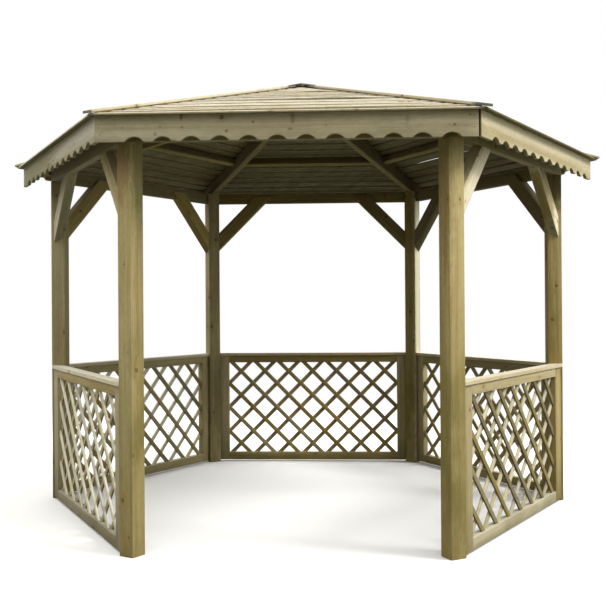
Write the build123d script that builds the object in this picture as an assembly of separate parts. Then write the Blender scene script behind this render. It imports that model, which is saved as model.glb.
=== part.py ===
from build123d import *
from math import atan, ceil, cos, floor, radians, sin, sqrt, tan
import os

# Open garden gazebo of planed softwood, on a regular hexagon of six square posts.
# The front side is the way in. The five other sides carry lattice panels with a handrail.
# Millimetres, Z up. The origin is on the ground at the middle of the hexagon.
# The front side faces -Y, and two of the six corners lie on the X axis.
# Outer faces of what stands between two posts are given from the posts' outer edges.

# Posts
post_spacing = 1600.0
post_width = 90.0

# Ring beams, let into the outer side of the post tops
head_height = 2065.0
beam_height = 80.0
beam_thickness = 45.0
side_setback = 11.5         # outer face of beams and panels, behind the posts' outer edges

# Braces at 45 degrees between post and beam
brace_reach = 365.0         # along the post and along the beam, measured on the long edge
brace_depth = 95.0
brace_thickness = 60.0
brace_setback = 5.0         # outer face, behind that of the beams
brace_lap = 53.0            # the halved end, up the inner face of the beam

# Lattice panels
panel_bottom = 12.0
panel_top = 846.0
frame_thickness = 45.0
bottom_rail = 60.0
top_rail = 55.0
stile_width = 65.5          # from the opening to the nearest edge of the post
slat_width = 30.0
slat_thickness = 10.0
slat_angle = 45.0           # degrees
slat_pitch = 192.0          # between like slats, measured along a rail
slat_housing = 8.0          # depth that slat ends are let into the frame

# Handrails
handrail_thickness = 20.0
handrail_width = 70.0
handrail_setback = 0.5      # outer edge, behind the posts' outer edges

# Roof form
roof_slope = 17.0           # degrees
eave_overhang = 34.5        # edge of the lowest board, past the fascia
board_cover = 90.0          # wanted width of a board that shows, in plan
board_thickness = 11.0
board_lap = 12.0
seat_gap = 0.3              # boards and cappings lie this far off what is below them

# Rafters and purlins
rafter_width = 45.0
rafter_depth = 90.0         # upright
rafter_tail = 50.0          # upright, where the tapered tail meets the fascia
rafter_stand = 56.5         # height of a rafter over the outer edge of the beams
purlin_size = 45.0
purlin_inset = 467.0        # middle of the purlin, inside the outer face of the beams

# Fascia with a scalloped lower edge
fascia_overhang = 158.0     # outer face of the fascia, past that of the beams
fascia_thickness = 20.0
fascia_width = 129.0        # on the front side and the two beside it
far_fascia_width = 64.0     # on the three sides behind
scallop_pitch = 137.7
scallop_start = 188.5       # left corner of a side, seen from outside, to the first scallop's middle
scallop_stop = 100.0        # least distance of the last scallop's middle from the right corner
scallop_width = 93.0
scallop_depth = 24.0

# Hip cappings and apex
capping_width = 60.0
capping_thickness = 14.0
capping_overhang = 10.0     # past the corner of the lowest boards
cap_apothem = 90.0
cap_thickness = 20.0
cap_cover = 9.0             # least width of the cap on the boards
block_apothem = 50.0
block_drop = 27.0           # foot of the apex block, below the rafters

# Sides and corners in turn, from the front side and from the corner on the X axis
side_names = ["front", "front_right", "back_right", "back", "back_left", "front_left"]
far_sides = ["back_right", "back", "back_left"]
near_sides = [name for name in side_names if name not in far_sides]
corner_names = ["right", "back_right", "back_left", "left", "front_left", "front_right"]
side_turn = 360 / len(side_names)
half_turn = radians(side_turn / 2)
side_turns = {name: step * side_turn for step, name in enumerate(side_names)}
corner_turns = {name: step * side_turn for step, name in enumerate(corner_names)}

# Plan
line_apothem = post_spacing * cos(half_turn)
post_corner = post_width * (cos(half_turn) + sin(half_turn)) / 2
post_shoulder = post_width * (cos(half_turn) - sin(half_turn)) / 2
post_reveal = post_spacing / 2 - post_corner
side_face = post_corner - side_setback
beam_outer = line_apothem + side_face
beam_inner = beam_outer - beam_thickness
beam_top = head_height + beam_height
fascia_apothem = beam_outer + fascia_overhang
eave_apothem = fascia_apothem + eave_overhang
purlin_apothem = beam_outer - purlin_inset
roof_hole = (cap_apothem - cap_cover) * cos(half_turn)

# Roof boards
fall = tan(radians(roof_slope))
hip_fall = fall * cos(half_turn)
course_run = eave_apothem / round(eave_apothem / board_cover)
course_count = ceil((eave_apothem - roof_hole) / course_run)
board_fall = fall - board_thickness / course_run
timber_drop = 2 * board_thickness + board_thickness * board_lap / course_run + seat_gap

# Roof heights, up from the seat of the rafters
rafter_drop = timber_drop + rafter_width / 2 * sin(half_turn) * fall
peak_height = beam_top + rafter_stand + rafter_drop + beam_outer * fall
eave_height = peak_height - eave_apothem * fall
last_edge = eave_apothem - (course_count - 1) * course_run
cap_bottom = peak_height - last_edge * fall + (last_edge - roof_hole) * board_fall + seat_gap
roof_reach = 2 * eave_apothem


def plan_prism(points, low, high):
    """An upright prism over a polygon in plan."""
    face = Polygon(*points, align=None)
    return Pos(0, 0, low) * extrude(face, amount=high - low, dir=(0, 0, 1))


def hexagon(apothem, low, high, corner_turn=0):
    """An upright hexagonal prism, with corners on the X axis before it is turned."""
    radius = apothem / cos(half_turn)
    turns = [radians(turn + corner_turn) for turn in corner_turns.values()]
    return plan_prism([(radius * cos(turn), radius * sin(turn)) for turn in turns], low, high)


def side_plate(points, inner, outer):
    """A plate in the front side, its outline along and up, its faces set off the post line."""
    face = Plane.XZ * Polygon(*points, align=None)
    return Pos(0, -line_apothem - inner, 0) * extrude(face, amount=outer - inner, dir=(0, -1, 0))


def radial_plate(points, width):
    """A plate that stands along the X axis, its outline out from the middle and up."""
    face = Plane.XZ * Polygon(*points, align=None)
    return extrude(face, amount=width / 2, both=True)


def side_ring(inner, outer, low, high):
    """One side of a hexagonal ring, mitred at both corners."""
    slope = tan(half_turn)
    corners = [
        (-inner * slope, -inner),
        (-outer * slope, -outer),
        (outer * slope, -outer),
        (inner * slope, -inner),
    ]
    return plan_prism(corners, low, high)


def side_wedge(clearance=0.0):
    """The sector of the plan over the front side, kept clear of both hips."""
    start = clearance / sin(half_turn)
    half = (roof_reach - start) * tan(half_turn)
    return plan_prism([(0, -start), (-half, -roof_reach), (half, -roof_reach)], 0, 2 * peak_height)


def rectangle(left, right, low, high):
    return [(left, low), (right, low), (right, high), (left, high)]


def roof_height(distance):
    """Top edges of the boards, by distance from the middle square to a side."""
    return peak_height - distance * fall


def hip_height(radius):
    """Top edges of the boards where two slopes meet."""
    return peak_height - radius * hip_fall


def solids_of(shapes):
    return Compound(children=[solid for shape in shapes for solid in shape.solids()])


def on_sides(shape, name, skip=()):
    return {f"{name}_{side}": Rot(0, 0, turn) * shape
            for side, turn in side_turns.items() if side not in skip}


def on_corners(shape, name):
    return {f"{name}_{corner}": Rot(0, 0, turn) * shape for corner, turn in corner_turns.items()}


# Posts

def post_blank(top):
    half = post_width / 2
    outline = [
        (post_spacing - half, -half),
        (post_spacing + half, -half),
        (post_spacing + half, half),
        (post_spacing - half, half),
    ]
    return plan_prism(outline, 0, top)


def post():
    """A square post whose top is cut back to a tongue inside the ring beams."""
    tongue = post_blank(beam_top) & hexagon(beam_inner, head_height, beam_top)
    return post_blank(head_height) + tongue


def clear_of_posts(shape):
    """Cuts the ends of a piece of the front side to the faces of its two posts."""
    for corner in ("front_left", "front_right"):
        shape = shape - Rot(0, 0, corner_turns[corner]) * post_blank(beam_top)
    return shape


# Ring beams and braces

def ring_beam():
    return side_ring(beam_inner, beam_outer, head_height, beam_top)


def braces():
    """The pair of diagonal braces of a side, halved over the beam and running up inside it."""
    short_reach = brace_reach - brace_depth * sqrt(2)
    past_face = post_spacing / 2 - post_reveal
    outline = [
        (post_reveal - brace_reach - brace_lap, head_height + brace_lap),
        (post_reveal - short_reach - brace_lap, head_height + brace_lap),
        (post_reveal + past_face, head_height - short_reach - past_face),
        (post_reveal + past_face, head_height - brace_reach - past_face),
    ]
    outer = side_face - brace_setback
    brace = clear_of_posts(side_plate(outline, outer - brace_thickness, outer)) - ring_beam()
    return solids_of([brace, mirror(brace, about=Plane.YZ)])


# Lattice panels and handrails

opening_half = post_reveal - stile_width
opening_low = panel_bottom + bottom_rail
opening_high = panel_top - top_rail


def slat_layer(direction, inner):
    """Slats at an angle, cut to the opening and let into the frame round it."""
    middle = (opening_low + opening_high) / 2
    reach = opening_half + (opening_high - opening_low) / 2 / tan(radians(slat_angle))
    length = 2 * (opening_half + opening_high)
    count = ceil(reach / slat_pitch)
    field = Plane.XZ * Polygon(
        *rectangle(-opening_half - slat_housing, opening_half + slat_housing,
                   opening_low - slat_housing, opening_high + slat_housing),
        align=None,
    )
    slats = []
    for step in range(-count, count):
        place = (step + 0.5) * slat_pitch
        if abs(place) < reach:
            strip = Pos(place, middle) * Rot(0, 0, direction * slat_angle) * Rectangle(length, slat_width)
            slats.append(extrude((Plane.XZ * strip) & field, amount=slat_thickness))
    layer = slats[0]
    for slat in slats[1:]:
        layer = layer + slat
    return Pos(0, -line_apothem - inner, 0) * layer


def lattice_panel():
    """A frame of two stiles and two rails round two layers of crossing slats."""
    inner = side_face - frame_thickness
    outline = rectangle(-post_spacing / 2, post_spacing / 2, panel_bottom, panel_top)
    opening = rectangle(-opening_half, opening_half, opening_low, opening_high)
    frame = side_plate(outline, inner, side_face) - side_plate(opening, inner, side_face)
    slat_face = side_face - frame_thickness / 2
    back_layer = slat_layer(1, slat_face - slat_thickness)
    front_layer = slat_layer(-1, slat_face)
    return clear_of_posts(frame) + back_layer + front_layer


def handrail():
    end = post_spacing / 2 - post_shoulder - handrail_setback
    outer = post_corner - handrail_setback
    outline = rectangle(-end, end, panel_top, panel_top + handrail_thickness)
    return clear_of_posts(side_plate(outline, outer - handrail_width, outer))


# Roof timbers

def rafter_height(radius):
    return hip_height(radius) - rafter_drop


def hip_rafter():
    """A rafter from the apex block out to the fascia, notched over the post top, its tail tapered."""
    inner = block_apothem
    outer = fascia_apothem / cos(half_turn)
    heel = beam_outer / cos(half_turn)
    seat = heel - (beam_top - rafter_height(heel) + rafter_depth) / hip_fall
    outline = [
        (inner, rafter_height(inner)),
        (outer, rafter_height(outer)),
        (outer, rafter_height(outer) - rafter_tail),
        (heel, rafter_height(heel) - rafter_depth),
        (heel, beam_top),
        (seat, beam_top),
        (inner, rafter_height(inner) - rafter_depth),
    ]
    inside = hexagon(fascia_apothem - fascia_thickness, 0, peak_height)
    return radial_plate(outline, rafter_width) & inside


def purlin():
    """A batten between two rafters, turned to lie flat under the boards."""
    pitch = atan(fall)
    across = (-sin(pitch), -cos(pitch))
    along = (-cos(pitch), sin(pitch))
    half = purlin_size / 2
    top = roof_height(purlin_apothem) - timber_drop
    corners = []
    for side, depth in ((1, 0), (-1, 0), (-1, purlin_size), (1, purlin_size)):
        corners.append((
            -purlin_apothem + side * half * along[0] - depth * across[0],
            top + side * half * -along[1] + depth * across[1],
        ))
    bar = extrude(Plane.YZ * Polygon(*corners, align=None), amount=purlin_apothem, both=True)
    return bar & side_wedge(rafter_width / 2)


# Roof covering

def roof_boards():
    """Lapped boards of one slope: stepped above and below, mitred at the hips."""
    top = []
    under = []
    for course in range(course_count):
        out = eave_apothem - course * course_run
        inward = max(out - course_run, roof_hole)
        edge = roof_height(out)
        top.append((-out, edge))
        top.append((-inward, edge + (out - inward) * board_fall))
        start = out if course == 0 else out - board_lap
        end = max(out - course_run - board_lap, roof_hole)
        under.append((-start, edge - board_thickness + (out - start) * board_fall))
        under.append((-end, edge - board_thickness + (out - end) * board_fall))
    outline = top + under[::-1]
    sheet = extrude(Plane.YZ * Polygon(*outline, align=None), amount=roof_reach, both=True)
    return sheet & side_wedge()


def fascia(width):
    """A board under the eave, with round bites along its lower edge."""
    top = eave_height - board_thickness + eave_overhang * board_fall - seat_gap
    low = top - width
    board = side_ring(fascia_apothem - fascia_thickness, fascia_apothem, low, top)
    length = 2 * fascia_apothem * tan(half_turn)
    count = 1 + floor((length - scallop_start - scallop_stop) / scallop_pitch)
    radius = (scallop_width ** 2 / 4 + scallop_depth ** 2) / (2 * scallop_depth)
    for step in range(count):
        middle = scallop_start + step * scallop_pitch - length / 2
        bite = Plane.XZ * Pos(middle, low + scallop_depth - radius) * Circle(radius)
        board = board - extrude(bite, amount=2 * fascia_apothem)
    return board


def hip_capping():
    """A flat board along a hip, on the corners of the lapped boards."""
    inner = cap_apothem + seat_gap
    outer = eave_apothem / cos(half_turn) + capping_overhang
    outline = [
        (inner, hip_height(inner) + seat_gap),
        (outer, hip_height(outer) + seat_gap),
        (outer, hip_height(outer) + seat_gap + capping_thickness),
        (inner, hip_height(inner) + seat_gap + capping_thickness),
    ]
    return radial_plate(outline, capping_width)


def apex_block():
    """The block that all the rafters meet, turned to give each a flat face."""
    low = rafter_height(block_apothem) - rafter_depth - block_drop
    return hexagon(block_apothem, low, cap_bottom, corner_turn=side_turn / 2)


def apex_cap():
    return hexagon(cap_apothem, cap_bottom, cap_bottom + cap_thickness, corner_turn=side_turn / 2)


nodes = {}
nodes.update(on_corners(post(), "post"))
nodes.update(on_sides(ring_beam(), "ring_beam"))
nodes.update(on_sides(braces(), "braces", skip=("front",)))
nodes.update(on_sides(lattice_panel(), "lattice_panel", skip=("front",)))
nodes["handrails"] = solids_of(on_sides(handrail(), "handrail", skip=("front",)).values())
nodes.update(on_corners(hip_rafter(), "hip_rafter"))
nodes["purlins"] = solids_of(on_sides(purlin(), "purlin").values())
nodes.update(on_sides(roof_boards(), "roof_boards"))
nodes.update(on_sides(fascia(fascia_width), "fascia", skip=far_sides))
nodes.update(on_sides(fascia(far_fascia_width), "fascia", skip=near_sides))
nodes["hip_cappings"] = solids_of(on_corners(hip_capping(), "capping").values())
nodes["apex_block"] = apex_block()
nodes["apex_cap"] = apex_cap()

os.makedirs("parts", exist_ok=True)
for name, shape in nodes.items():
    export_step(shape, f"parts/{name}.step")
print(len(nodes), "nodes written")
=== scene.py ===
import bpy
import numpy as np
import random
from math import atan, atan2, cos, degrees, pi, radians, sin, sqrt, tan
from mathutils import Matrix, Vector


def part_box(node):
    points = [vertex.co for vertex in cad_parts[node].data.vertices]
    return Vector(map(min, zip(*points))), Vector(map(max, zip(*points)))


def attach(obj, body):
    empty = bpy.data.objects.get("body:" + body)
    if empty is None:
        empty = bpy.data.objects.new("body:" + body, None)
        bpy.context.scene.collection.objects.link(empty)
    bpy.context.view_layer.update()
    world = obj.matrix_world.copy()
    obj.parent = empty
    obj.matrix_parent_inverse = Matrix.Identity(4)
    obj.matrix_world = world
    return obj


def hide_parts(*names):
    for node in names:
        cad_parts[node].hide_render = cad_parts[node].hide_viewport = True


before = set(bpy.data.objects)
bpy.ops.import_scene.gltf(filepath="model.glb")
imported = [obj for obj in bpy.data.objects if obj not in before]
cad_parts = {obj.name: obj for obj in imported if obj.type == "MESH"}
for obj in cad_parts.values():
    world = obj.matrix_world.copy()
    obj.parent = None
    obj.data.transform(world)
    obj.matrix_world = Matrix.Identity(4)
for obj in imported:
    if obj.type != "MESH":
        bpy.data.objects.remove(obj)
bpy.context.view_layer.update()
chance = random.Random(17)

# Turns of the six sides and corners about the upright axis, the front side at 0
sixth = 60
halfSixth = radians(sixth / 2)
sideNames = ("front", "front_right", "back_right", "back", "back_left", "front_left")
cornerNames = ("right", "back_right", "back_left", "left", "front_left", "front_right")
sideTurns = {name: sixth * step for step, name in enumerate(sideNames)}
cornerTurns = {name: sixth * step for step, name in enumerate(cornerNames)}
panelSides = [side for side in sideNames if side != "front"]
along, across, upright = Vector((1, 0, 0)), Vector((0, 1, 0)), Vector((0, 0, 1))

# What counts as sharp, smooth, flat and the same point, and the steps of an eased edge
meshing = {
    "sharp": radians(32),
    "smooth": radians(40),
    "flat": radians(0.5),
    "merge": 0.00002,
    "easeSteps": 2,
}


def turned(degreesRound):
    return Matrix.Rotation(radians(degreesRound), 4, "Z")


# Handling of pieces

def choose(*pieces):
    for other in bpy.context.selected_objects:
        other.select_set(False)
    for piece in pieces:
        piece.select_set(True)
    bpy.context.view_layer.objects.active = pieces[0]


def copyOf(piece, name, place=None):
    twin = piece.copy()
    twin.data = piece.data.copy()  # its own mesh
    twin.name = name
    if place is not None:
        twin.data.transform(place)
    bpy.context.scene.collection.objects.link(twin)
    return twin


def drop(*pieces):
    for piece in pieces:
        bpy.data.objects.remove(piece)


def joinUp(name, pieces):
    choose(*pieces)
    bpy.ops.object.join()
    pieces[0].name = name
    return pieces[0]


def finish(piece, modifier):
    choose(piece)
    bpy.ops.object.modifier_apply(modifier=modifier.name)


def easeEdges(piece, width):
    # rounds the sharp edges of sawn timber
    easing = piece.modifiers.new("easing", "BEVEL")
    easing.width = width
    easing.segments = meshing["easeSteps"]
    easing.limit_method = "ANGLE"
    easing.angle_limit = meshing["sharp"]
    finish(piece, easing)


def roundLong(piece, least, width, steps, below):
    # a nosing worked along the long edges only, less on the lower ones
    weights = piece.data.attributes.new("bevel_weight_edge", "FLOAT", "EDGE")
    heights = [vertex.co.z for vertex in piece.data.vertices]
    middle = (min(heights) + max(heights)) / 2
    for edge in piece.data.edges:
        start, end = (piece.data.vertices[index].co for index in edge.vertices)
        share = 1.0 if start.z > middle else below
        weights.data[edge.index].value = share * ((end - start).length > least)
    nosing = piece.modifiers.new("nosing", "BEVEL")
    nosing.width = width
    nosing.segments = steps
    nosing.limit_method = "WEIGHT"
    finish(piece, nosing)


def cutAcross(piece, length, cuts):
    # divides a board along its length, so that it can bend
    choose(piece)
    bpy.ops.object.mode_set(mode="EDIT")
    for step in range(cuts):
        bpy.ops.mesh.select_all(action="SELECT")
        place = length * ((step + 1) / (cuts + 1) - 0.5)
        bpy.ops.mesh.bisect(plane_co=(place, 0, 0), plane_no=(1, 0, 0))
    bpy.ops.object.mode_set(mode="OBJECT")


def plank(name, size):
    # a board on the origin, its length on X
    bpy.ops.mesh.primitive_cube_add(size=1, scale=size)
    piece = bpy.context.active_object
    piece.name = name
    bpy.ops.object.transform_apply(location=True, rotation=True, scale=True)
    return piece


def trim(piece, point, outward):
    # saws off what lies past a plane and closes the cut
    choose(piece)
    bpy.ops.object.mode_set(mode="EDIT")
    bpy.ops.mesh.select_all(action="SELECT")
    bpy.ops.mesh.bisect(plane_co=point, plane_no=outward, use_fill=True, clear_outer=True)
    bpy.ops.object.mode_set(mode="OBJECT")


def sawnFrom(node, name):
    # a merged copy of a timber of the frame, ready for shaping
    piece = copyOf(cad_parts[node], name)
    piece.parent = None
    for key in [key for key in piece.keys() if key.startswith("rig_")]:
        del piece[key]
    choose(piece)
    bpy.ops.object.mode_set(mode="EDIT")
    bpy.ops.mesh.select_all(action="SELECT")
    bpy.ops.mesh.remove_doubles(threshold=meshing["merge"])
    bpy.ops.mesh.dissolve_limited(angle_limit=meshing["flat"])
    bpy.ops.object.mode_set(mode="OBJECT")
    bpy.ops.mesh.customdata_custom_splitnormals_clear()
    return piece


# Weather: how far each side has bleached, with moss below 0, from the front side round to it again

bleachShares = [0.2, 0.7, -0.4, 0.0, 0.5, 0.6, 0.2]


def bleachAt(place):
    turn = (degrees(atan2(place[1], place[0])) + 90) % 360
    return float(np.interp(turn / sixth, range(len(bleachShares)), bleachShares))


# Every board carries its own axes, so that its grain runs along it

grainLay = {
    "start": 60,  # most that a board begins along its log
    "aside": (0.01, 0.09),  # the pith, beside and below the board
    "deep": (0.03, 0.1),
    "toneJitter": 0.1,
    "edgeLean": 0.3,  # cosines that tell edges, sawn ends, flat faces and sides apart
    "cutLean": 0.35,
    "flatLean": 0.985,
    "sideLean": 0.6,
}


def readOut(items, name, width=1, kind=float):
    values = np.empty(len(items) * width, kind)
    items.foreach_get(name, values)
    return values.reshape(-1, width) if width > 1 else values


def islandsOf(mesh):
    # a number for each vertex, the same all over a board
    start, end = readOut(mesh.edges, "vertices", 2, int).T
    label = np.arange(len(mesh.vertices))
    while True:
        least = np.minimum(label[start], label[end])
        before = label.copy()
        np.minimum.at(label, start, least)
        np.minimum.at(label, end, least)
        label = label[label]
        if (label == before).all():
            return label


def boardAxes(normals, areas):
    # along, across and through a board, from its largest face and its largest edge
    through = normals[areas.argmax()]
    edgeAreas = np.where(np.abs(normals @ through) < grainLay["edgeLean"], areas, 0)
    sideways = normals[edgeAreas.argmax()]
    sideways = sideways - through * (sideways @ through)
    sideways = sideways / np.linalg.norm(sideways)
    return np.array([np.cross(sideways, through), sideways, through])


def layGrain(piece, bleach=None):
    mesh = piece.data
    label = islandsOf(mesh)
    points = readOut(mesh.vertices, "co", 3)
    normals = readOut(mesh.polygons, "normal", 3)
    areas = readOut(mesh.polygons, "area")
    corners = readOut(mesh.loops, "vertex_index", kind=int)
    faceLabel = label[corners[readOut(mesh.polygons, "loop_start", kind=int)]]
    grain, tone = np.zeros_like(points), np.zeros_like(points)
    cut, rim, edge = np.zeros((3, len(areas)))
    jitter = grainLay["toneJitter"]
    for island in np.unique(label):
        faces = faceLabel == island
        own = label == island
        axes = boardAxes(normals[faces], areas[faces])
        centre = (points[own].min(0) + points[own].max(0)) / 2
        start = chance.uniform(0, grainLay["start"])
        aside = chance.choice((-1, 1)) * chance.uniform(*grainLay["aside"])
        deep = chance.uniform(*grainLay["deep"])
        grain[own] = (points[own] - centre) @ axes.T + [start, aside, -deep]
        # past 1 or below 0 this paints light on some slats and braces and shade on others
        faded = bleachAt(centre) if bleach is None else bleach
        tone[own] = [chance.random(), chance.random(), faded + chance.uniform(-jitter, jitter)]
        lean = np.abs(normals[faces] @ axes.T)
        cut[faces] = lean[:, 0]
        rim[faces] = (lean[:, 0] < grainLay["cutLean"]) & (lean.max(1) < grainLay["flatLean"])
        edge[faces] = lean[:, 1] > grainLay["sideLean"]
    for name, kind, domain, values in (
        ("grain", "FLOAT_VECTOR", "POINT", grain),
        ("tone", "FLOAT_VECTOR", "POINT", tone),
        ("cut", "FLOAT", "FACE", cut),
        ("rim", "FLOAT", "FACE", rim),
        ("edge", "FLOAT", "FACE", edge),
    ):
        layer = mesh.attributes.new(name, kind, domain)
        field = "vector" if kind == "FLOAT_VECTOR" else "value"
        layer.data.foreach_set(field, values.astype(np.float32).ravel())


# Node helpers

def paint(red, green, blue):
    # a colour as a screen shows it, made linear
    return tuple(((part / 255 + 0.055) / 1.055) ** 2.4 if part > 10 else part / 3294.6
                 for part in (red, green, blue)) + (1.0,)


def feed(tree, socket, value):
    if isinstance(value, bpy.types.NodeSocket):
        tree.links.new(value, socket)
    else:
        socket.default_value = value


def mathOf(tree, operation, first, second=0.0):
    made = tree.nodes.new("ShaderNodeMath")
    made.operation = operation
    feed(tree, made.inputs[0], first)
    feed(tree, made.inputs[1], second)
    return made.outputs[0]


def timesOf(tree, first, second):
    return mathOf(tree, "MULTIPLY", first, second)


def vectorOf(tree, operation, first, second=(0, 0, 0)):
    made = tree.nodes.new("ShaderNodeVectorMath")
    made.operation = operation
    feed(tree, made.inputs[0], first)
    feed(tree, made.inputs[1], second)
    return made.outputs["Value" if operation == "LENGTH" else "Vector"]


def partsOf(tree, vector):
    made = tree.nodes.new("ShaderNodeSeparateXYZ")
    feed(tree, made.inputs[0], vector)
    return made.outputs


def vectorFrom(tree, *parts):
    made = tree.nodes.new("ShaderNodeCombineXYZ")
    for socket, part in zip(made.inputs, parts):
        feed(tree, socket, part)
    return made.outputs[0]


def rangeOf(tree, value, low, high, least=0.0, most=1.0):
    made = tree.nodes.new("ShaderNodeMapRange")
    made.interpolation_type = "SMOOTHSTEP"
    feed(tree, made.inputs["Value"], value)
    for name, number in (("From Min", low), ("From Max", high), ("To Min", least), ("To Max", most)):
        made.inputs[name].default_value = number
    return made.outputs["Result"]


def mixOf(tree, share, first, second):
    # inputs 6 and 7 and output 2 are the ones for colours
    made = tree.nodes.new("ShaderNodeMix")
    made.data_type = "RGBA"
    feed(tree, made.inputs["Factor"], share)
    feed(tree, made.inputs[6], first)
    feed(tree, made.inputs[7], second)
    return made.outputs[2]


def attributeOf(tree, name, output):
    made = tree.nodes.new("ShaderNodeAttribute")
    made.attribute_name = name
    return made.outputs[output]


def stretchOf(tree, vector, scale):
    made = tree.nodes.new("ShaderNodeMapping")
    feed(tree, made.inputs["Vector"], vector)
    made.inputs["Scale"].default_value = scale
    return made.outputs["Vector"]


def noiseOf(tree, kind, vector, output="Fac"):
    noise = noises[kind]
    made = tree.nodes.new("ShaderNodeTexNoise")
    feed(tree, made.inputs["Vector"], stretchOf(tree, vector, noise["stretch"]))
    made.inputs["Scale"].default_value = 1.0
    made.inputs["Detail"].default_value = noise["detail"]
    made.inputs["Roughness"].default_value = noise["roughness"]
    value = made.outputs[output]
    return rangeOf(tree, value, *noise["shows"]) if "shows" in noise else value


def placeOf(tree):
    return tree.nodes.new("ShaderNodeTexCoord").outputs["Object"]


def materialOf(name):
    made = bpy.data.materials.new(name)
    made.use_nodes = True
    return made, made.node_tree, made.node_tree.nodes["Principled BSDF"]


# Softwood, treated green and weathered outdoors. Lengths are in metres, and a share of 0 leaves a layer out.

plainLook = {
    "pale": paint(203, 186, 132),
    "warm": paint(184, 158, 98),
    "dark": paint(136, 114, 66),
    "green": paint(158, 151, 90),
    "stain": paint(170, 130, 76),
    "knot": paint(112, 80, 50),
    "outline": paint(72, 50, 30),
    "faded": paint(222, 216, 192),
    "bleached": paint(228, 220, 196),
    "under": paint(78, 71, 38),
    "endGrain": paint(122, 110, 80),
    "rim": paint(208, 197, 152),
    "damp": paint(104, 98, 50),
    "moss": paint(86, 80, 46),
    "mossShare": 0.75,
    "noseShare": 0.0,
    "rimLeast": 0.4,
    "footFull": 0.0,
    "specular": 0.25,
    "fadeShare": 0.75,
    "bleachShare": 0.6,
    "underShare": 0.45,
    "greenShare": 0.4,
    "stainShare": 0.35,
    "rimShare": 0.35,
    "cutShare": 0.7,
    "ringShare": 0.17,
    "bandShare": 0.22,
    "haloShare": 0.3,
    "knotShare": 0.75,
    "outlineShare": 0.45,
    "knotAlong": 4.5,
    "knotAcross": 11.0,
    "knotLeast": 0.0002,
    "knotRadius": 0.012,
    "knotsLeftOut": 0.4,
    "outlineAt": 0.9,  # in knot radii
    "eyeStretch": 0.36,
    "swell": 1.3,
    "wander": 0.024,
    "ringGap": 0.0062,
    "toneShare": 0.2,
    "value": 0.8,
    "palest": 1.3,
    "footShare": 0.5,
    "footHeight": 0.3,
    "roughness": 0.78,
    "roughSpread": (-0.06, 0.1),
    "relief": 0.001,
    "reliefShares": (0.35, 0.5, -0.25, 0.4, -0.5),  # rings, fibres, streaks, knots and their outlines
    "bump": 0.7,
    "markRagged": 0.8,
    "marks": (),
}
# Where an effect starts and where it is full, then its values there unless they are 0 and 1.
# The look of a material gives the last value where only three numbers stand here.
spans = {
    "cut": (0.5, 0.8),
    "knot": (1.0, 0.75),
    "outline": (0.22, 0.05),
    "halo": (2.6, 0.5),
    "ring": (-0.2, 1.0),
    "fading": (0.0, 1.0, 1.0, 0.7),
    "moss": (0.0, -1.0),
    "above": (0.35, 0.9),
    "below": (-0.3, -0.8),
    "worn": (0.9, 0.1, 0.6, 1.0),
    "nose": (0.2, 1.0, 0.0),
    "footPatch": (0.0, 1.0, 0.6, 1.0),
    "mark": (1.4, 0.8),
    "fibreValue": (0.2, 0.8, 0.9, 1.08),
    "blotValue": (0.25, 0.75, 0.93, 1.06),
    "bleachValue": (1.1, 1.8, 1.0),
    "saturation": (0.0, 1.0, 0.86, 1.12),
}
# Noises, finer by their stretch along, across and through a board, and the part of them that shows
noises = {
    "wander": {"stretch": (1.3, 5, 5), "detail": 2, "roughness": 0.5},
    "streak": {"stretch": (1.1, 38, 38), "detail": 4, "roughness": 0.62, "shows": (0.32, 0.68)},
    "band": {"stretch": (0.6, 13, 13), "detail": 2, "roughness": 0.5, "shows": (0.4, 0.7)},
    "patch": {"stretch": (2.4, 7, 7), "detail": 3, "roughness": 0.6, "shows": (0.42, 0.7)},
    "warmth": {"stretch": (1.2, 6, 8), "detail": 3, "roughness": 0.6, "shows": (0.52, 0.72)},
    "fibre": {"stretch": (14, 480, 480), "detail": 2, "roughness": 0.6},
    "blot": {"stretch": (26, 60, 60), "detail": 3, "roughness": 0.65},
    "ragged": {"stretch": (90, 90, 90), "detail": 2, "roughness": 0.6, "shows": (0.25, 0.75, 0.75, 1.25)},
    "rust": {"stretch": (90, 90, 90), "detail": 3, "roughness": 0.6, "shows": (0.45, 0.62)},
}


def knotsOf(tree, look, grain, edge):
    # round on every face of a board: how far off a knot and its long eye are, in radii, and the radius
    parts = partsOf(tree, grain)
    deeper = mathOf(tree, "SUBTRACT", parts["Z"], parts["Y"])
    depth = mathOf(tree, "ADD", parts["Y"], timesOf(tree, edge, deeper))
    lengthways = timesOf(tree, parts["X"], look["knotAlong"])
    crossways = timesOf(tree, depth, look["knotAcross"])
    place = vectorFrom(tree, lengthways, crossways, 0.0)
    cells = tree.nodes.new("ShaderNodeTexVoronoi")
    cells.voronoi_dimensions = "2D"
    cells.inputs["Scale"].default_value = 1.0
    feed(tree, cells.inputs["Vector"], place)
    gap = vectorOf(tree, "SUBTRACT", place, cells.outputs["Position"])
    gap = stretchOf(tree, gap, (1 / look["knotAlong"], 1 / look["knotAcross"], 0))
    draw = partsOf(tree, cells.outputs["Color"])["X"]
    radius = rangeOf(tree, draw, look["knotsLeftOut"], 1.0, look["knotLeast"], look["knotRadius"])
    near = mathOf(tree, "DIVIDE", vectorOf(tree, "LENGTH", gap), radius)
    drawnOut = stretchOf(tree, gap, (look["eyeStretch"], 1, 1))
    eye = mathOf(tree, "DIVIDE", vectorOf(tree, "LENGTH", drawnOut), radius)
    return timesOf(tree, near, noiseOf(tree, "ragged", grain)), eye, radius


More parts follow.
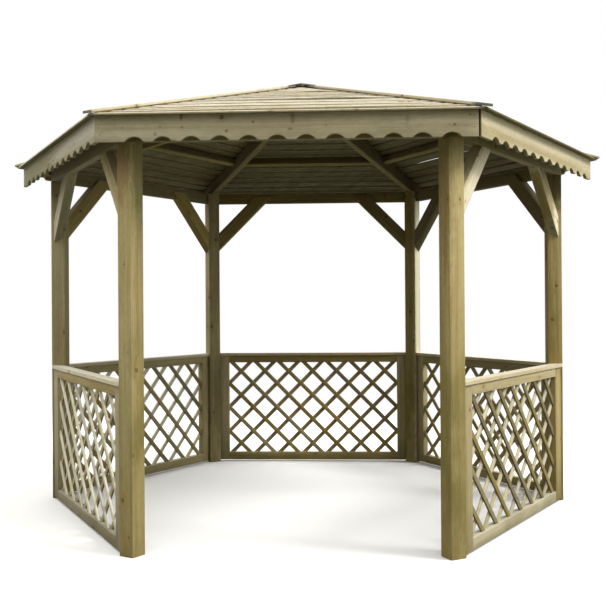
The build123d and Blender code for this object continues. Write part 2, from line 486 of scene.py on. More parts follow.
def softwood(name, **changes):
    look = dict(plainLook, **changes)
    made, tree, shader = materialOf(name)
    grain = attributeOf(tree, "grain", "Vector")
    tone = partsOf(tree, attributeOf(tree, "tone", "Vector"))
    cut = rangeOf(tree, attributeOf(tree, "cut", "Fac"), *spans["cut"])
    rim = attributeOf(tree, "rim", "Fac")
    edge = attributeOf(tree, "edge", "Fac")

    # knots first, because the grain flows round them
    near, eye, radius = knotsOf(tree, look, grain, edge)
    knot = rangeOf(tree, near, *spans["knot"])
    offOutline = mathOf(tree, "ABSOLUTE", mathOf(tree, "SUBTRACT", near, look["outlineAt"]))
    outline = rangeOf(tree, offOutline, *spans["outline"])
    halo = rangeOf(tree, eye, *spans["halo"])
    wander = vectorOf(tree, "SUBTRACT", noiseOf(tree, "wander", grain, "Color"), (0.5, 0.5, 0.5))
    wander = vectorOf(tree, "MULTIPLY", wander, (0.0, look["wander"], look["wander"]))
    swell = timesOf(tree, timesOf(tree, halo, radius), look["swell"])
    flow = vectorOf(tree, "ADD", vectorOf(tree, "ADD", grain, wander), vectorFrom(tree, 0.0, swell, swell))

    # year rings, streaks, patches of treatment and fine fibres
    fromPith = vectorOf(tree, "LENGTH", vectorOf(tree, "MULTIPLY", flow, (0.0, 1.0, 1.0)))
    ring = mathOf(tree, "SINE", timesOf(tree, fromPith, 2 * pi / look["ringGap"]))
    ring = rangeOf(tree, ring, *spans["ring"])
    streak, band, fibre = (noiseOf(tree, kind, flow) for kind in ("streak", "band", "fibre"))
    patch, warmth, blot = (noiseOf(tree, kind, grain) for kind in ("patch", "warmth", "blot"))
    # the third tone value is weather, and on some slats and braces painted light and shade
    faded = timesOf(tree, tone["Z"], rangeOf(tree, band, *spans["fading"]))
    mossy = rangeOf(tree, tone["Z"], *spans["moss"])
    colour = mixOf(tree, streak, look["pale"], look["warm"])
    for part, share, tint in (
        (patch, "greenShare", "green"),
        (warmth, "stainShare", "stain"),
        (faded, "fadeShare", "faded"),
        (mossy, "mossShare", "moss"),
        (ring, "ringShare", "dark"),
        (band, "bandShare", "dark"),
        (halo, "haloShare", "stain"),
        (knot, "knotShare", "knot"),
        (outline, "outlineShare", "outline"),
    ):
        colour = mixOf(tree, timesOf(tree, part, look[share]), colour, look[tint])

    # weather and painted light: tops bleached, faces below in painted shade, arrises worn, open end grain,
    # damp feet in painted shade
    facing = partsOf(tree, tree.nodes.new("ShaderNodeNewGeometry").outputs["Normal"])["Z"]
    below = rangeOf(tree, facing, *spans["below"])
    # tops mix towards a bleached colour; on the handrails it is a painted highlight, on the roof boards
    # painted shade
    worn = timesOf(tree, rangeOf(tree, facing, *spans["above"]), rangeOf(tree, band, *spans["worn"]))
    colour = mixOf(tree, timesOf(tree, worn, look["bleachShare"]), colour, look["bleached"])
    # faces that look down take painted shade, and on the rafters painted light
    colour = mixOf(tree, timesOf(tree, below, look["underShare"]), colour, look["under"])
    # arrises and the noses of boards turn paler: wear, and on the handrails and roof boards a painted
    # highlight
    least = look["rimShare"] * look["rimLeast"]
    rim = timesOf(tree, rim, rangeOf(tree, tone["Z"], 0.0, 1.0, least, look["rimShare"]))
    nose = timesOf(tree, edge, rangeOf(tree, tone["Z"], *spans["nose"], look["noseShare"]))
    colour = mixOf(tree, mathOf(tree, "MAXIMUM", rim, nose), colour, look["rim"])
    colour = mixOf(tree, timesOf(tree, cut, look["cutShare"]), colour, look["endGrain"])
    # darker towards the ground, as damp and as painted shade
    foot = rangeOf(tree, partsOf(tree, placeOf(tree))["Z"], look["footHeight"], look["footFull"])
    foot = timesOf(tree, foot, rangeOf(tree, patch, *spans["footPatch"]))
    colour = mixOf(tree, timesOf(tree, foot, look["footShare"]), colour, look["damp"])

    # single marks at a known place on the object: middle, half sizes, colour and share
    for middle, size, markColour, share in look["marks"]:
        apart = vectorOf(tree, "DIVIDE", vectorOf(tree, "SUBTRACT", placeOf(tree), middle), size)
        ragged = timesOf(tree, blot, look["markRagged"])
        mark = rangeOf(tree, mathOf(tree, "ADD", vectorOf(tree, "LENGTH", apart), ragged), *spans["mark"])
        colour = mixOf(tree, timesOf(tree, mark, share), colour, markColour)

    # each board has its own tone, and the fibres break up the colour
    dimmest, brightest = (look["value"] * (1 + part * look["toneShare"] / 2) for part in (-1, 1))
    value = rangeOf(tree, tone["X"], 0.0, 1.0, dimmest, brightest)
    value = timesOf(tree, value, rangeOf(tree, fibre, *spans["fibreValue"]))
    value = timesOf(tree, value, rangeOf(tree, blot, *spans["blotValue"]))
    # pieces given more than full weather, the front right braces and some slats, are painted lighter as
    # light
    value = timesOf(tree, value, rangeOf(tree, tone["Z"], *spans["bleachValue"], look["palest"]))
    shade = tree.nodes.new("ShaderNodeHueSaturation")
    feed(tree, shade.inputs["Color"], colour)
    feed(tree, shade.inputs["Value"], value)
    feed(tree, shade.inputs["Saturation"], rangeOf(tree, tone["Y"], *spans["saturation"]))
    feed(tree, shader.inputs["Base Color"], shade.outputs[0])
    smoothest, roughest = (look["roughness"] + part for part in look["roughSpread"])
    feed(tree, shader.inputs["Roughness"], rangeOf(tree, streak, 0.0, 1.0, smoothest, roughest))
    shader.inputs["Specular IOR Level"].default_value = look["specular"]

    ridge = 0.0
    for part, share in zip((ring, fibre, streak, knot, outline), look["reliefShares"]):
        ridge = mathOf(tree, "ADD", ridge, timesOf(tree, part, share))
    bump = tree.nodes.new("ShaderNodeBump")
    bump.inputs["Strength"].default_value = look["bump"]
    bump.inputs["Distance"].default_value = look["relief"]
    feed(tree, bump.inputs["Height"], ridge)
    feed(tree, shader.inputs["Normal"], bump.outputs[0])
    return made


# Dull zinc on nails and screws, rusting in spots

zincLook = {
    "clean": paint(128, 126, 116),
    "rust": paint(84, 62, 42),
    "roughness": (0.42, 0.85),
    "metallic": (0.75, 0.1),
}


def zincOf(name):
    made, tree, shader = materialOf(name)
    rust = noiseOf(tree, "rust", placeOf(tree))
    feed(tree, shader.inputs["Base Color"], mixOf(tree, rust, zincLook["clean"], zincLook["rust"]))
    feed(tree, shader.inputs["Roughness"], rangeOf(tree, rust, 0, 1, *zincLook["roughness"]))
    feed(tree, shader.inputs["Metallic"], rangeOf(tree, rust, 0, 1, *zincLook["metallic"]))
    return made


# Marks that stay where the photo shows them

# Knots on the front fascia, as x, z, size and share, and dark runs from its top edge
fasciaFace, markDepth = -1.59, 0.2
knotBrown = paint(98, 70, 40)
fasciaKnots = [
    (-0.786, 2.103, 0.008, 0.35),
    (-0.896, 2.07, 0.007, 0.4),
    (-0.628, 2.069, 0.013, 0.4),
    (-0.604, 2.104, 0.006, 0.5),
    (-0.498, 2.102, 0.008, 0.5),
    (-0.285, 2.08, 0.01, 0.6),
    (-0.158, 2.121, 0.01, 0.6),
    (0.19, 2.1, 0.007, 0.4),
    (0.867, 2.138, 0.01, 0.4),
]
fasciaRuns = [
    ((-0.502, 2.15), (0.011, 0.024), paint(92, 64, 38), 0.6),
    ((0.031, 2.135), (0.014, 0.034), paint(118, 80, 50), 0.5),
    ((0.02, 2.085), (0.015, 0.01), paint(96, 64, 40), 0.5),
    ((0.574, 2.127), (0.016, 0.03), paint(138, 104, 60), 0.35),
]
frontMarks = [((x, z), (size, size), knotBrown, share) for x, z, size, share in fasciaKnots] + fasciaRuns
fasciaMarks = [
    ((x, fasciaFace, z), (wide, markDepth, high), tint, share)
    for (x, z), (wide, high), tint, share in frontMarks
]
# The far end of the left fascia is painted darker and greener as shade
fasciaMarks.append(((-1.62, -0.35, 2.1), (0.6, 0.75, 0.3), paint(132, 128, 76), 0.6))
# Cappings are darker at the apex and over the front right corner
cappingMarks = [
    ((0, 0, 2.64), (0.31, 0.31, 0.14), paint(54, 47, 38), 1.0),
    ((0.935, -1.62, 2.17), (0.1, 0.1, 0.06), paint(84, 86, 78), 0.9),
]
# Stains high on the two front posts, painted light on the pale side of the back right one and painted shade
# on the dark top of the right one
postMarks = [
    ((-0.85, -1.43, 1.95), (0.08, 0.08, 0.3), paint(146, 106, 74), 0.5),
    ((-0.74, -1.4, 1.92), (0.08, 0.07, 0.32), paint(98, 94, 50), 0.45),
    ((0.75, -1.42, 1.75), (0.08, 0.08, 0.5), paint(108, 84, 46), 0.35),
    ((0.86, 1.35, 1.2), (0.07, 0.07, 6), paint(240, 232, 206), 0.9),
    ((1.6, 0, 2.0), (0.12, 0.12, 0.25), paint(92, 80, 54), 0.75),
]
# The brace on the right post is kept without the painted light of its fellow on the same side
braceMarks = [((1.46, -0.22, 1.93), (0.25, 0.25, 0.4), paint(150, 130, 80), 0.85)]

# Materials of the pieces, by slot

timbers = {
    "post_timber": softwood(
        "postTimber", stainShare=0.5, knotAcross=9, fadeShare=0.32,
        footHeight=1.7, footFull=0.5, footShare=0.7, damp=paint(122, 110, 58), marks=postMarks,
    ),
    # beams and rafters are painted darker as shade; the rafters' faces below are painted lighter as light
    "beam_timber": softwood("beamTimber", pale=paint(132, 122, 86), warm=paint(114, 101, 66), fadeShare=0.2),
    "rafter_timber": softwood(
        "rafterTimber", pale=paint(116, 104, 74), warm=paint(98, 84, 56), fadeShare=0.1,
        underShare=0.8, under=paint(150, 140, 84),
    ),
    "brace_timber": softwood(
        "braceTimber", fadeShare=1.0, faded=paint(238, 229, 200), moss=paint(70, 58, 38), marks=braceMarks,
    ),
    "fascia_timber": softwood(
        "fasciaTimber", pale=paint(218, 200, 142), warm=paint(198, 172, 110), knotsLeftOut=0.88,
        ringShare=0.12, outlineShare=0.3, fadeShare=0.9, faded=paint(226, 220, 198), marks=fasciaMarks,
    ),
    # roof boards: painted highlight on their noses and rounded edges, painted shade on their tops and
    # undersides
    "roof_boards": softwood(
        "roofBoards", toneShare=0.26, rim=paint(255, 251, 236), rimShare=1.0, rimLeast=0.0, noseShare=1.0,
        bleachShare=0.85, bleached=paint(162, 153, 126), fadeShare=0.85, faded=paint(228, 220, 196),
        underShare=0.92, under=paint(72, 67, 31), moss=paint(72, 72, 54), mossShare=0.95, value=1.0,
    ),
    "lattice_timber": softwood(
        "latticeTimber", toneShare=0.34, knotRadius=0.008, knotsLeftOut=0.6, fadeShare=0.55,
        value=0.7, palest=1.5,
    ),
    # handrails: painted highlight on their tops and rounded nosings
    "handrail_timber": softwood(
        "handrailTimber", bleached=paint(230, 222, 194), bleachShare=0.9, rimShare=1.0, rimLeast=1.0,
        rim=paint(244, 237, 214), roughness=0.5, specular=0.6, value=0.95,
    ),
    "capping_timber": softwood(
        "cappingTimber", bleachShare=0.7, bleached=paint(180, 173, 150), fadeShare=0.9, marks=cappingMarks,
        value=0.8,
    ),
    "cap_timber": softwood(
        "capTimber", pale=paint(64, 57, 47), warm=paint(50, 44, 36), fadeShare=0.0, rimShare=0.0,
        bleachShare=0.2, bleached=paint(110, 102, 88), toneShare=0.0,
    ),
}
zinc = zincOf("dullZinc")


def dress(piece, material, *nodes):
    # smooth shading, material and place in the frame
    choose(piece)
    bpy.ops.object.shade_smooth_by_angle(angle=meshing["smooth"])
    piece.data.materials.clear()
    piece.data.materials.append(material)
    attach(piece, "root")
    if nodes:
        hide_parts(*nodes)


def settle(piece, slot, *nodes, bleach=None):
    layGrain(piece, bleach)
    dress(piece, timbers[slot], *nodes)


# Posts, with drying checks sawn in as real slits

posts = {
    "ease": 0.0035,
    "checks": 3,
    "checkWidth": 0.0022,
    "checkDepth": 0.02,
    "checkTip": 0.06,  # share of the width that its ends keep
    "checkLength": (0.22, 0.6),
    "checkHeight": (0.45, 1.75),
    "checkAside": 0.45,  # most, as a share of the way from the middle of a face to its edge
}


def dryingCheck(piece, centre, length, run, into):
    # a long thin wedge, pointed at both ends, taken out of the timber
    blade = plank("blade", (length, posts["checkWidth"], posts["checkDepth"]))
    cutAcross(blade, length, 1)
    for vertex in blade.data.vertices:
        if abs(vertex.co.x) > length / 4:
            vertex.co.y *= posts["checkTip"]
    turn = Matrix((run, run.cross(into), into)).transposed().to_4x4()
    blade.data.transform(Matrix.Translation(centre) @ turn)
    saw = piece.modifiers.new("check", "BOOLEAN")
    saw.operation = "DIFFERENCE"
    saw.solver = "EXACT"
    saw.object = blade
    finish(piece, saw)
    drop(blade)


def makePosts():
    low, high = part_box("post_right")
    half = (high.x - low.x) / 2
    aside = posts["checkAside"]
    for corner, turn in cornerTurns.items():
        node = f"post_{corner}"
        piece = sawnFrom(node, node + "_timber")
        easeEdges(piece, posts["ease"])
        axis = turned(turn) @ Vector(((low.x + high.x) / 2, 0, 0))
        for step in range(posts["checks"]):
            face = turned(turn + 90 * chance.randrange(4)) @ along
            side = turned(90) @ face
            length = chance.uniform(*posts["checkLength"])
            height = chance.uniform(*posts["checkHeight"])
            centre = axis + face * half + side * chance.uniform(-aside, aside) * half
            centre.z = height
            dryingCheck(piece, centre, length, upright, face)
        settle(piece, "post_timber", node)
    print("posts")


# The frame's timbers with eased edges: slot, easing and places

timberEases = {
    "ring_beam": ("beam_timber", 0.002, sideTurns),
    "braces": ("brace_timber", 0.003, panelSides),
    "hip_rafter": ("rafter_timber", 0.002, cornerTurns),
}
singleEases = {
    "purlins": ("rafter_timber", 0.002),
    "apex_block": ("rafter_timber", 0.003),
    "apex_cap": ("cap_timber", 0.002),
}
# Braces are painted lighter as light at the front right and darker as shade at the back
braceBleach = {"front_right": 1.2, "back_right": -0.9, "back": -0.6, "back_left": -0.1}


def makeTimbers():
    for kind, (slot, ease, places) in timberEases.items():
        for place in places:
            node = f"{kind}_{place}"
            piece = sawnFrom(node, node + "_timber")
            easeEdges(piece, ease)
            settle(piece, slot, node, bleach=braceBleach.get(place) if kind == "braces" else None)
        print(kind)
    for node, (slot, ease) in singleEases.items():
        piece = sawnFrom(node, node + "_timber")
        easeEdges(piece, ease)
        settle(piece, slot, node)
        print(node)


# Fascias: the front one was sawn short, which leaves an open joint at its right end

fascias = {
    "ease": 0.0018,
    "openJoint": 0.0125,
    "bleach": {"front": 0.5, "front_left": 1.0, "front_right": 0.75},
}


def makeFascias():
    for side in sideTurns:
        node = f"fascia_{side}"
        piece = sawnFrom(node, node + "_board")
        if side == "front":
            trim(piece, along * (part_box(node)[1].x - fascias["openJoint"]), along)
        easeEdges(piece, fascias["ease"])
        settle(piece, "fascia_timber", node, bleach=fascias["bleach"].get(side))
    print("fascias")


# Hip cappings: flat boards, each with a fillet below it that closes the steps between the courses

cappings = {
    "thickness": 0.014,
    "ease": 0.0025,
    "filletWidth": 0.022,
    "filletDepth": 0.013,
    "filletEnd": 0.06,
    "bleach": 0.95,
}


def hipFall():
    # a hip falls less steeply than the slopes beside it
    return tan(radians(roof["slope"])) * cos(halfSixth)


def hipFillet():
    # under the capping of the corner on the X axis
    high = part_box("hip_cappings")[1]
    start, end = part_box("apex_cap")[1].x, high.x - cappings["filletEnd"]
    fall = hipFall()
    slant = sqrt(1 + fall ** 2)
    fillet = plank("fillet", ((end - start) * slant, cappings["filletWidth"], cappings["filletDepth"]))
    depth = cappings["thickness"] + cappings["filletDepth"] / 2 * slant
    middle = Vector(((start + end) / 2, 0, high.z - (end - start) / 2 * fall - depth))
    fillet.data.transform(Matrix.Translation(middle) @ Matrix.Rotation(atan(fall), 4, "Y"))
    return fillet


def makeCappings():
    name = "hip_cappings_timber"
    piece = sawnFrom("hip_cappings", name)
    easeEdges(piece, cappings["ease"])
    fillet = hipFillet()
    fillets = [copyOf(fillet, "fillet", turned(turn)) for turn in cornerTurns.values()]
    drop(fillet)
    settle(joinUp(name, [piece] + fillets), "capping_timber", "hip_cappings", bleach=cappings["bleach"])
    print("hip cappings")


# Handrails with rounded nosings

handrails = {"nosing": 0.015, "steps": 6, "leastLength": 0.5, "belowShare": 0.25}


def makeHandrails():
    piece = sawnFrom("handrails", "handrails_planed")
    least, below = handrails["leastLength"], handrails["belowShare"]
    roundLong(piece, least, handrails["nosing"], handrails["steps"], below)
    settle(piece, "handrail_timber", "handrails")
    print("handrails")


# Roof boards, lapped from the eave up. Lifts are heights of the lower edge off the board below.

roof = {
    "slope": 17.0,
    "cover": 0.09,
    "thickness": 0.011,
    "lap": 0.012,
    "nose": 0.0055,
    "noseSteps": 3,
    "ease": 0.001,
    "bow": 0.001,
    "hipGap": 0.003,
    "spare": 0.02,  # length past the hips, sawn off again
    "bends": 15,
    "shift": 0.004,
    "unevenness": 0.003,
    "lift": 0.0018,
}
# How much of a full course shows in the first one, so that the courses don't meet at the hips
firstCourses = dict(zip(sideNames, (1, 0.55, 1, 0.6, 1, 0.5)))
roofBleach = dict(zip(sideNames, (1.1, -1.0, -0.3, 0.6, 0.5, 0.6)))
# Boards that have sprung: millimetres by share of the way from the middle to a hip, by course
sprung = {
    "front": {
        1: [(-0.5, 3), (0.5, 6)],
        3: [(-0.5, 4), (0.5, 2)],
        5: [(-0.5, 3), (0.5, 2)],
        7: [(-0.5, 4), (0.5, 9)],
        9: [(-0.5, 3), (0.5, 1)],
        13: [(-0.3, 0), (0.5, 8)],
    },
    "back_right": {5: [(-0.5, 3), (0.1, 7), (0.6, 6), (0.72, 1)]},
}


def liftsOf(side, course):
    if course in sprung.get(side, {}):
        return [(place, lift / 1000) for place, lift in sprung[side][course]]
    return [(-0.5, chance.uniform(0, roof["lift"])), (0.5, chance.uniform(0, roof["lift"]))]


def boardPattern(length, width):
    # a board with its lower top edge rounded
    pattern = plank("board", (length, width, roof["thickness"]))
    choose(pattern)
    bpy.ops.object.mode_set(mode="EDIT")
    bpy.ops.mesh.select_all(action="DESELECT")
    bpy.ops.object.mode_set(mode="OBJECT")
    for edge in pattern.data.edges:
        ends = [pattern.data.vertices[index].co for index in edge.vertices]
        edge.select = all(end.y < 0 and end.z > 0 for end in ends)
    bpy.ops.object.mode_set(mode="EDIT")
    bpy.ops.mesh.select_mode(type="EDGE")
    bpy.ops.mesh.bevel(offset=roof["nose"], segments=roof["noseSteps"], affect="EDGES")
    bpy.ops.object.mode_set(mode="OBJECT")
    cutAcross(pattern, length, roof["bends"])
    return pattern


def roofSlope(side):
    low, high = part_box("roof_boards_front")
    eave, hole = -low.y, -high.y
    run = eave / round(eave / roof["cover"])
    thickness, lap = roof["thickness"], roof["lap"]
    fall = tan(radians(roof["slope"]))
    length = 2 * eave * tan(halfSixth) + roof["spare"]
    lowerEdges = [eave]
    step = run * firstCourses[side]
    while lowerEdges[-1] - step > hole:
        lowerEdges.append(lowerEdges[-1] - step)
        step = run + chance.uniform(-1, 1) * roof["unevenness"]
    boards = []
    for course, out in enumerate(lowerEdges):
        shows = out - lowerEdges[course + 1] if course + 1 < len(lowerEdges) else run
        boardFall = fall - thickness / shows
        width = shows + lap
        board = boardPattern(length, width * sqrt(1 + boardFall ** 2))
        if out - width < hole:
            trim(board, across * (out - hole - width / 2), across)
        easeEdges(board, roof["ease"])
        half = out * tan(halfSixth)
        places, lifts = zip((-1, 0), *liftsOf(side, course), (1, 0))
        bow = chance.uniform(-1, 1) * roof["bow"]
        for vertex in board.data.vertices:
            share = vertex.co.x / half
            lift = float(np.interp(share, places, lifts)) + bow * max(0, 1 - share * share)
            vertex.co.z += lift * (0.5 - vertex.co.y / width)
        top = low.z + thickness + (eave - out) * fall + width / 2 * boardFall
        shift = chance.uniform(-roof["shift"], roof["shift"])
        place = Matrix.Translation((shift, width / 2 - out, top - thickness / 2))
        board.data.transform(place @ Matrix.Rotation(atan(boardFall), 4, "X"))
        boards.append(board)
    slope = joinUp(f"roof_boards_{side}_laid", boards)
    for hand in (-1, 1):
        outward = Vector((hand * cos(halfSixth), sin(halfSixth), 0))
        trim(slope, -outward * roof["hipGap"], outward)
    slope.data.transform(turned(sideTurns[side]))
    settle(slope, "roof_boards", f"roof_boards_{side}", bleach=roofBleach[side])


def makeRoof():
    for side in sideTurns:
        roofSlope(side)
        print("roof boards", side)


# Lattice panels: two stiles, two rails between them and two layers of slats

lattice = {
    "bottomRail": 0.06,
    "topRail": 0.055,
    "stile": 0.0655,
    "slatWidth": 0.03,
    "slatThickness": 0.01,
    "slatSpare": 0.1,  # height past the opening, sawn off again
    "slant": 45,
    "pitch": 0.192,
    "housing": 0.008,
    "joint": 0.0006,
    "ease": 0.002,
    "slatEase": 0.0012,
    "jitter": 0.0012,
    "tilt": 0.25,
}
# Layers of slats painted lighter or darker than the frame round them, as painted light and shade
slatBleach = {
    ("front_right", "inner"): 1.3,
    ("front_right", "outer"): -0.7,
    ("front_left", "outer"): 1.8,
    ("back_left", "outer"): 1.8,
    ("back_left", "inner"): -0.2,
}


def cutToPosts(piece):
    # both ends follow the turned faces of the posts
    low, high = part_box("post_right")
    radius, half = (low.x + high.x) / 2, (high.x - low.x) / 2
    for hand in (-1, 1):
        turn = sixth / 2 * hand - 90
        face = turned(turn - 90 * hand) @ along
        trim(piece, turned(turn) @ (along * radius) + face * half, -face)


def frameBoard(name, low, high):
    # a board between two corners of its box, its grain along the longer way
    size = high - low
    if size.x > size.z:
        piece = plank(name, size)
    else:
        piece = plank(name, (size.z, size.y, size.x))
        piece.data.transform(Matrix.Rotation(radians(90), 4, "Y"))
    piece.data.transform(Matrix.Translation((low + high) / 2))
    return piece


def panelSizes():
    # the opening and the faces of a panel, in the front side's place
    low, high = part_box("lattice_panel_back")
    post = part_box("post_right")
    corner = (post[1].x - post[0].x) / 2
    reveal = (post[0].x + post[1].x) / 4 - corner * (cos(halfSixth) + sin(halfSixth))
    return {
        "half": high.x,
        "opening": reveal - lattice["stile"],
        "outer": -high.y,
        "inner": -low.y,
        "bottom": low.z,
        "sill": low.z + lattice["bottomRail"],
        "head": high.z - lattice["topRail"],
        "top": high.z,
    }


def latticeFrame(side, sizes):
    half, opening, joint = sizes["half"], sizes["opening"], lattice["joint"]
    outer, inner = sizes["outer"], sizes["inner"]
    boards = []
    for foot, head in ((sizes["bottom"], sizes["sill"]), (sizes["head"], sizes["top"])):
        ends = opening - joint
        boards.append(frameBoard("rail", Vector((-ends, outer, foot)), Vector((ends, inner, head))))
    for ends in ((-half, -opening), (opening, half)):
        low, high = Vector((ends[0], outer, sizes["bottom"])), Vector((ends[1], inner, sizes["top"]))
        boards.append(frameBoard("stile", low, high))
    surround = joinUp(f"lattice_frame_{side}", boards)
    cutToPosts(surround)
    easeEdges(surround, lattice["ease"])
    surround.data.transform(turned(sideTurns[side]))
    settle(surround, "lattice_timber", f"lattice_panel_{side}")


def slatPlaces(sizes):
    # where the slats' middle lines cross mid-height
    reach = sizes["opening"] + (sizes["head"] - sizes["sill"]) / 2
    count = int(reach / lattice["pitch"]) + 1
    places = [(step + 0.5) * lattice["pitch"] for step in range(-count, count)]
    return [place for place in places if abs(place) < reach]


def latticeSlats(side, sizes):
    opening, sill, head = sizes["opening"], sizes["sill"], sizes["head"]
    middle = (sill + head) / 2
    face = (sizes["outer"] + sizes["inner"]) / 2
    thickness, deep = lattice["slatThickness"], lattice["housing"]
    length = (head - sill + lattice["slatSpare"]) / sin(radians(lattice["slant"]))
    pattern = plank("slat", (length, thickness, lattice["slatWidth"]))
    easeEdges(pattern, lattice["slatEase"])
    for hand, layerName in ((1, "inner"), (-1, "outer")):
        slats = []
        for place in slatPlaces(sizes):
            x = place + chance.uniform(-1, 1) * lattice["jitter"]
            tilt = chance.uniform(-lattice["tilt"], lattice["tilt"]) - hand * lattice["slant"]
            shift = Matrix.Translation((x, face + hand * thickness / 2, middle))
            slats.append(copyOf(pattern, "slat", shift @ Matrix.Rotation(radians(tilt), 4, "Y")))
        layer = joinUp(f"lattice_{layerName}_slats_{side}", slats)
        for point, outward in (
            (along * (opening + deep), along),
            (-along * (opening + deep), -along),
            (upright * (sill - deep), -upright),
            (upright * (head + deep), upright),
        ):
            trim(layer, point, outward)
        layer.data.transform(turned(sideTurns[side]))
        settle(layer, "lattice_timber", f"lattice_panel_{side}", bleach=slatBleach.get((side, layerName)))
    drop(pattern)


def makeLattice():
    sizes = panelSizes()
    for side in panelSides:
        latticeFrame(side, sizes)
        latticeSlats(side, sizes)
        print("lattice", side)


# Nails and screws

fixings = {
    "corners": 10,
    "radius": 0.004,
    "height": 0.0012,
    "proud": 0.0003,
    "driveRim": 0.55,
    "nailSize": 0.6,
    "fasciaEnd": 0.034,
    "nearFascia": 0.1,  # a fascia higher than this is a near one
    "nearHeights": (0.03, 0.085),  # down from the top of a fascia
    "farHeights": (0.018, 0.046),
    "railPlaces": (-0.6, -0.2, 0.2, 0.6),
    "railMiddle": 0.035,
    "crossingMargin": 0.01,
    "cappingStart": 0.08,
    "cappingStep": 0.28,
    "braceEnds": ((0.4, 2.105), (0.425, 2.085), (0.7, 1.8), (0.715, 1.77)),  # aside and up
    "braceThickness": 0.06,
}


def headPattern():
    # a countersunk head with a sunk drive
    corners, radius, height = fixings["corners"], fixings["radius"], fixings["height"]
    middle = (0, 0, fixings["proud"] - height / 2)
    bpy.ops.mesh.primitive_cylinder_add(vertices=corners, radius=radius, depth=height, location=middle)
    pattern = bpy.context.active_object
    bpy.ops.object.transform_apply(location=True, rotation=True, scale=True)
    bpy.ops.object.mode_set(mode="EDIT")
    bpy.ops.mesh.select_all(action="DESELECT")
    bpy.ops.object.mode_set(mode="OBJECT")
    for face in pattern.data.polygons:
        face.select = face.normal.z > 0.5  # the top
    bpy.ops.object.mode_set(mode="EDIT")
    bpy.ops.mesh.inset(thickness=radius * fixings["driveRim"])
    bpy.ops.transform.translate(value=(0, 0, -height / 2))
    bpy.ops.object.mode_set(mode="OBJECT")
    return pattern


def fasciaHeads():
    # two at each end of a fascia
    low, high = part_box("fascia_front")
    out = high.x - fixings["fasciaEnd"]
    for side, turn in sideTurns.items():
        foot, top = (corner.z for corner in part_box(f"fascia_{side}"))
        for down in fixings["nearHeights" if top - foot > fixings["nearFascia"] else "farHeights"]:
            for hand in (-1, 1):
                yield turned(turn) @ Vector((hand * out, low.y, top - down)), turned(turn) @ -across, 1


def crossingsOf(sizes):
    # where two slats cross, on the inner face
    margin = fixings["crossingMargin"]
    middle = (sizes["sill"] + sizes["head"]) / 2
    face = (sizes["outer"] + sizes["inner"]) / 2 + lattice["slatThickness"]
    crossings = []
    for rising in slatPlaces(sizes):
        for falling in slatPlaces(sizes):
            x, z = (rising + falling) / 2, middle + (falling - rising) / 2
            if abs(x) < sizes["opening"] - margin and sizes["sill"] + margin < z < sizes["head"] - margin:
                crossings.append(Vector((x, face, z)))
    return crossings


def panelHeads():
    # in the handrails, at the slats' crossings and in the ends of the braces
    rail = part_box("handrails")[1]
    braceFace = fixings["braceThickness"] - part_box("braces_back")[1].y
    crossings = crossingsOf(panelSizes())
    for side in panelSides:
        turn = turned(sideTurns[side])
        for x in fixings["railPlaces"]:
            yield turn @ Vector((x, fixings["railMiddle"] - rail.y, rail.z)), upright, 1
        for spot in crossings:
            yield turn @ spot, turn @ across, fixings["nailSize"]
        for x, z in fixings["braceEnds"]:
            for hand in (-1, 1):
                yield turn @ Vector((hand * x, braceFace, z)), turn @ across, 1


def cappingHeads():
    # down the middle of each hip capping
    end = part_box("hip_cappings")[1]
    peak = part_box("apex_cap")[1].x
    outward = Vector((hipFall(), 0, 1)).normalized()
    for turn in cornerTurns.values():
        for radius in np.arange(peak + fixings["cappingStart"], end.x, fixings["cappingStep"]):
            spot = Vector((radius, 0, end.z - (radius - peak) * hipFall()))
            yield turned(turn) @ spot, turned(turn) @ outward, 1


def makeFixings():
    # each head has a place, the way it faces and a size
    pattern = headPattern()
    heads = []
    for spot, outward, size in (*fasciaHeads(), *panelHeads(), *cappingHeads()):
        turn = upright.rotation_difference(outward).to_matrix().to_4x4()
        heads.append(copyOf(pattern, "head", Matrix.Translation(spot) @ turn @ Matrix.Scale(size, 4)))
    drop(pattern)
    dress(joinUp("nails_and_screws", heads), zinc)
    print("nails and screws")


makePosts()
makeTimbers()
makeFascias()
makeCappings()
makeHandrails()
makeRoof()
makeLattice()
makeFixings()


# Camera, lamps and floor

view = {
    "place": (0.2896, -5.9244, 1.2478),
    "yaw": 2.84,
    "pitch": 0.135,
    "roll": -0.389,
    "lens": 54.33,
    "sensor": 36,
}
lens = bpy.data.cameras.new("camera")
lens.lens = view["lens"]
lens.sensor_width = view["sensor"]
camera = bpy.data.objects.new("camera", lens)
bpy.context.scene.collection.objects.link(camera)
camera.matrix_world = (
    Matrix.Translation(view["place"])
    @ Matrix.Rotation(radians(view["yaw"]), 4, "Z")
    @ Matrix.Rotation(pi / 2 + radians(view["pitch"]), 4, "X")
    @ Matrix.Rotation(radians(view["roll"]), 4, "Z")
)
bpy.context.scene.camera = camera
bpy.context.scene.view_settings.view_transform = "Standard"

# Strengths of the sky and the ground, and the heights or sides between which each rises
studio = {
    "zenith": 2.0,
    "horizon": 0.17,
    "rise": (0.12, 0.78),
    "ground": 0.07,
    "groundFade": (-0.05, 0.02),
    "rightSide": 1.25,
    "rightRise": (0.35, 1.0),
    "leftSide": 0.44,
    "leftRise": (-0.2, -1.0),
    "backdrop": 1.0,
    "keyPower": 2.1,
    "keySpread": 18,
    "keyTurn": 75,
    "keyTilt": 47,
    "floor": 9.0,
    "floorCorners": 96,
    "floorFade": (2.2, 6.5),
    "floorRoughness": 0.9,
    "floorTone": paint(84, 88, 64),
    "floorWhite": paint(236, 235, 231),
}


def rays(tree):
    # 1 for what the camera sees straight, in gloss or through glass
    path = tree.nodes.new("ShaderNodeLightPath").outputs
    seen = mathOf(tree, "MAXIMUM", path["Is Camera Ray"], path["Is Glossy Ray"])
    return mathOf(tree, "MAXIMUM", seen, path["Is Transmission Ray"])


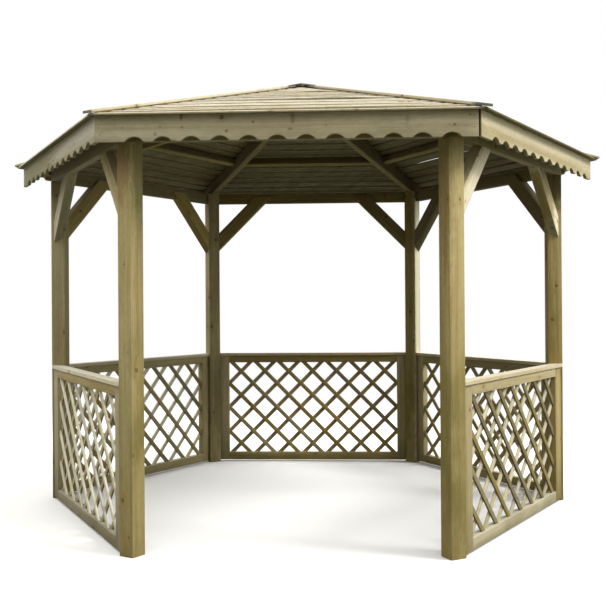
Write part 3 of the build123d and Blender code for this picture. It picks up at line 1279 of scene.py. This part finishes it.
def makeWorld():
    world = bpy.data.worlds.new("studio")
    world.use_nodes = True
    tree = world.node_tree
    direction = partsOf(tree, tree.nodes.new("ShaderNodeTexCoord").outputs["Generated"])
    up = rangeOf(tree, direction["Z"], *studio["rise"], studio["horizon"], studio["zenith"])
    ground = rangeOf(tree, direction["Z"], *studio["groundFade"], studio["ground"], 0.0)
    sky = timesOf(tree, up, mathOf(tree, "GREATER_THAN", direction["Z"], 0.0))
    right = rangeOf(tree, direction["X"], *studio["rightRise"], 0.0, studio["rightSide"])
    left = rangeOf(tree, direction["X"], *studio["leftRise"], 0.0, studio["leftSide"])
    strength = mathOf(tree, "ADD", mathOf(tree, "ADD", sky, ground), mathOf(tree, "ADD", right, left))
    total = tree.nodes.new("ShaderNodeMix")
    feed(tree, total.inputs[0], rays(tree))
    feed(tree, total.inputs[2], strength)
    total.inputs[3].default_value = studio["backdrop"]
    background = tree.nodes["Background"]
    background.inputs["Color"].default_value = (1, 1, 1, 1)
    feed(tree, background.inputs["Strength"], total.outputs[0])
    bpy.context.scene.world = world


def makeFloor():
    # seen straight it is pale and fades into the backdrop, but the light it throws back is duller
    corners = studio["floorCorners"]
    bpy.ops.mesh.primitive_circle_add(vertices=corners, radius=studio["floor"], fill_type="NGON")
    floor = bpy.context.active_object
    floor.name = "floor"
    made, tree, shader = materialOf("paleFloor")
    seen = rays(tree)
    feed(tree, shader.inputs["Base Color"], mixOf(tree, seen, studio["floorTone"], studio["floorWhite"]))
    shader.inputs["Roughness"].default_value = studio["floorRoughness"]
    shader.inputs["Specular IOR Level"].default_value = 0.0
    far = rangeOf(tree, vectorOf(tree, "LENGTH", placeOf(tree)), *studio["floorFade"])
    white = tree.nodes.new("ShaderNodeEmission")
    blend = tree.nodes.new("ShaderNodeMixShader")
    feed(tree, blend.inputs[0], timesOf(tree, far, seen))
    feed(tree, blend.inputs[1], shader.outputs[0])
    feed(tree, blend.inputs[2], white.outputs[0])
    feed(tree, tree.nodes["Material Output"].inputs["Surface"], blend.outputs[0])
    floor.data.materials.append(made)


def makeLamps():
    sun = bpy.data.lights.new("key", "SUN")
    sun.energy = studio["keyPower"]
    sun.angle = radians(studio["keySpread"])
    lamp = bpy.data.objects.new("key", sun)
    turn, tilt = radians(studio["keyTurn"]), radians(studio["keyTilt"])
    lamp.matrix_world = Matrix.Rotation(turn, 4, "Z") @ Matrix.Rotation(tilt, 4, "X")
    bpy.context.scene.collection.objects.link(lamp)


makeWorld()
makeFloor()
makeLamps()
print("studio")
